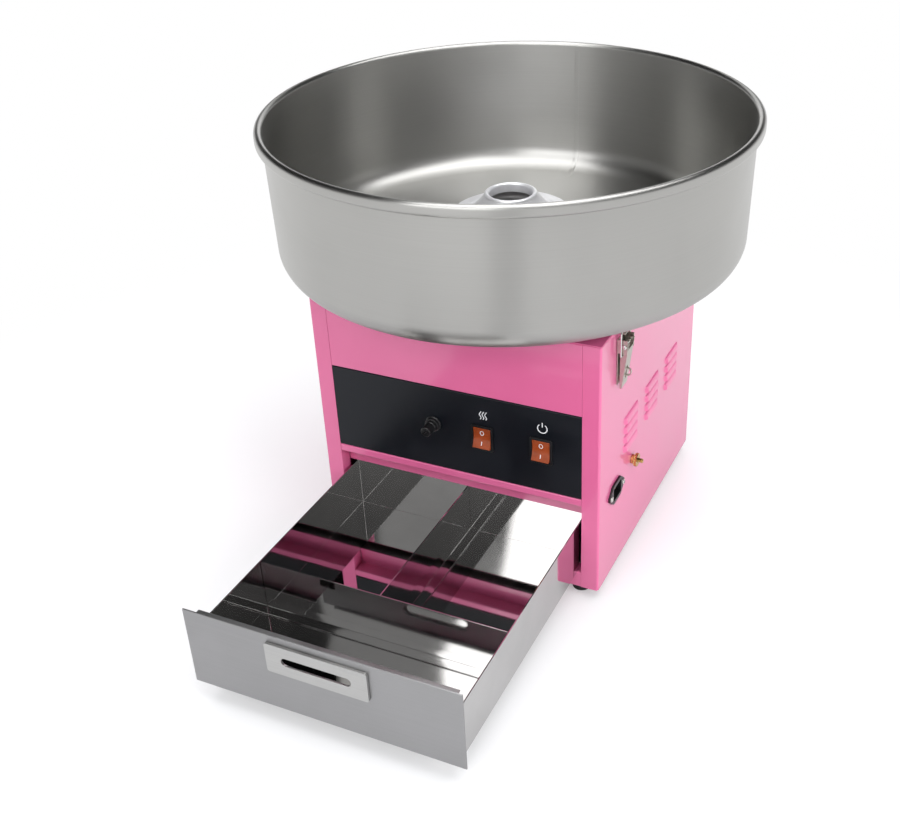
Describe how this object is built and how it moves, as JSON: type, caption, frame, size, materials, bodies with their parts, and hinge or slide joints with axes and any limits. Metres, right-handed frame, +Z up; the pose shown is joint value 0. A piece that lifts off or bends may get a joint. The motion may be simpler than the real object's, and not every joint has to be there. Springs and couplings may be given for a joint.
{
  "type": "floss machine",
  "caption": "Electric floss machine: spun bowl around a spinning heated head on a louvred cabinet with toggle latches, rocker switches and a divided drawer.",
  "frame": {"origin": "on the floor, in the middle of the machine's plan with the drawer pulled out as at rest; the bowl's axis is 96.4 mm behind it", "axes": "+X to the machine's right seen from its front, +Y to its back, +Z up; the drawer is pushed in along +Y"},
  "size_m": [0.52, 0.7128, 0.4746],
  "materials": {
    "pink_paint": "gloss powder coat",
    "black_paint": "fine satin powder coat",
    "stainless": "brushed and polished sheet",
    "zinc_steel": "zinc plated",
    "latch_steel": "nickel plated",
    "cast_aluminium": "satin turned",
    "gauze_steel": "perforated strip",
    "ribbon_alloy": "oxidised heating ribbon",
    "brass": "turned",
    "copper": "turned and worn bright",
    "carbon": "pressed carbon",
    "black_plastic": "moulded",
    "brown_board": "laminated insulating board",
    "amber_plastic": "translucent moulded",
    "rubber": "moulded",
    "fuse_glass": "clear tube",
    "motor_paint": "satin enamel"
  },
  "bodies": {
    "cabinet": {"base_tray": "pink_paint", "left_side_panel": "pink_paint", "right_side_panel": "pink_paint", "top_deck": "pink_paint", "rear_cover": "pink_paint", "front_upper_panel": "pink_paint", "front_rail": "pink_paint", "control_panel": "black_paint", "bay_roof": "zinc_steel", "runner_left": "zinc_steel", "runner_right": "zinc_steel", "foot_front_left": "rubber", "foot_front_right": "rubber", "foot_rear_left": "rubber", "foot_rear_right": "rubber", "switch_power_housing": "black_plastic", "switch_heat_housing": "black_plastic", "fuse_holder": "black_plastic", "inlet_socket": "black_plastic", "inlet_pin_line": "brass", "inlet_pin_neutral": "brass", "inlet_pin_earth": "brass", "earth_stud": "brass", "earth_nut": "brass", "latch_right_base": "latch_steel", "latch_right_pin": "latch_steel", "latch_right_keeper": "latch_steel", "latch_left_base": "latch_steel", "latch_left_pin": "latch_steel", "latch_left_keeper": "latch_steel", "bowl": "stainless", "bowl_seat": "zinc_steel", "motor_housing": "motor_paint", "motor_bracket": "zinc_steel", "brush_block": "brown_board", "brush_lower": "carbon", "brush_upper": "carbon"},
    "spinner": {"head_base": "cast_aluminium", "gauze_band": "gauze_steel", "heater_element": "ribbon_alloy", "head_ring": "cast_aluminium", "head_cap": "cast_aluminium", "motor_shaft": "zinc_steel", "slip_ring_carrier": "brown_board", "slip_ring_lower": "copper", "slip_ring_upper": "copper"},
    "drawer": {"drawer_box": "stainless", "drawer_front": "stainless", "handle_plate": "stainless", "divider_cross": "stainless", "divider_long": "stainless"},
    "right_lever": {"latch_right_lever": "latch_steel"},
    "right_bail": {"latch_right_bail": "latch_steel"},
    "left_lever": {"latch_left_lever": "latch_steel"},
    "left_bail": {"latch_left_bail": "latch_steel"},
    "power_rocker": {"switch_power_rocker": "amber_plastic"},
    "heat_rocker": {"switch_heat_rocker": "amber_plastic"},
    "fuse": {"fuse_cartridge": "fuse_glass"},
    "fuse_knob": {"fuse_cap": "black_plastic"}
  },
  "joints": [
    {"name": "drawer_slide", "type": "slide", "parent": "cabinet", "child": "drawer", "axis": [0, 1, 0], "range_m": [-0.02, 0.288]},
    {"name": "head_spin", "type": "hinge", "parent": "cabinet", "child": "spinner", "pos_m": [0, 0.0964, 0.35], "axis": [0, 0, 1], "continuous": true},
    {"name": "right_lever_hinge", "type": "hinge", "parent": "cabinet", "child": "right_lever", "pos_m": [0.171, -0.0106, 0.29], "axis": [0, -1, 0], "range_deg": [0, 120]},
    {"name": "right_bail_hinge", "type": "hinge", "parent": "right_lever", "child": "right_bail", "pos_m": [0.1684, -0.0106, 0.279], "axis": [0, -1, 0], "range_deg": [-144, 0]},
    {"name": "left_lever_hinge", "type": "hinge", "parent": "cabinet", "child": "left_lever", "pos_m": [-0.171, -0.0106, 0.29], "axis": [0, 1, 0], "range_deg": [0, 120]},
    {"name": "left_bail_hinge", "type": "hinge", "parent": "left_lever", "child": "left_bail", "pos_m": [-0.1684, -0.0106, 0.279], "axis": [0, 1, 0], "range_deg": [-144, 0]},
    {"name": "power_rocker_tilt", "type": "hinge", "parent": "cabinet", "child": "power_rocker", "pos_m": [0.0995, -0.0626, 0.1775], "axis": [1, 0, 0], "range_deg": [0, 16]},
    {"name": "heat_rocker_tilt", "type": "hinge", "parent": "cabinet", "child": "heat_rocker", "pos_m": [0.0333, -0.0626, 0.1775], "axis": [1, 0, 0], "range_deg": [0, 16]},
    {"name": "fuse_draw", "type": "slide", "parent": "cabinet", "child": "fuse", "axis": [0, -1, 0], "range_m": [0, 0.03]},
    {"name": "fuse_knob_turn", "type": "hinge", "parent": "fuse", "child": "fuse_knob", "pos_m": [-0.0235, -0.0776, 0.182], "axis": [0, -1, 0], "range_deg": [0, 90]}
  ],
  "couplings": [
    {"joint": "right_bail_hinge", "follows": "right_lever_hinge", "ratio": -1.2},
    {"joint": "left_bail_hinge", "follows": "left_lever_hinge", "ratio": -1.2}
  ]
}
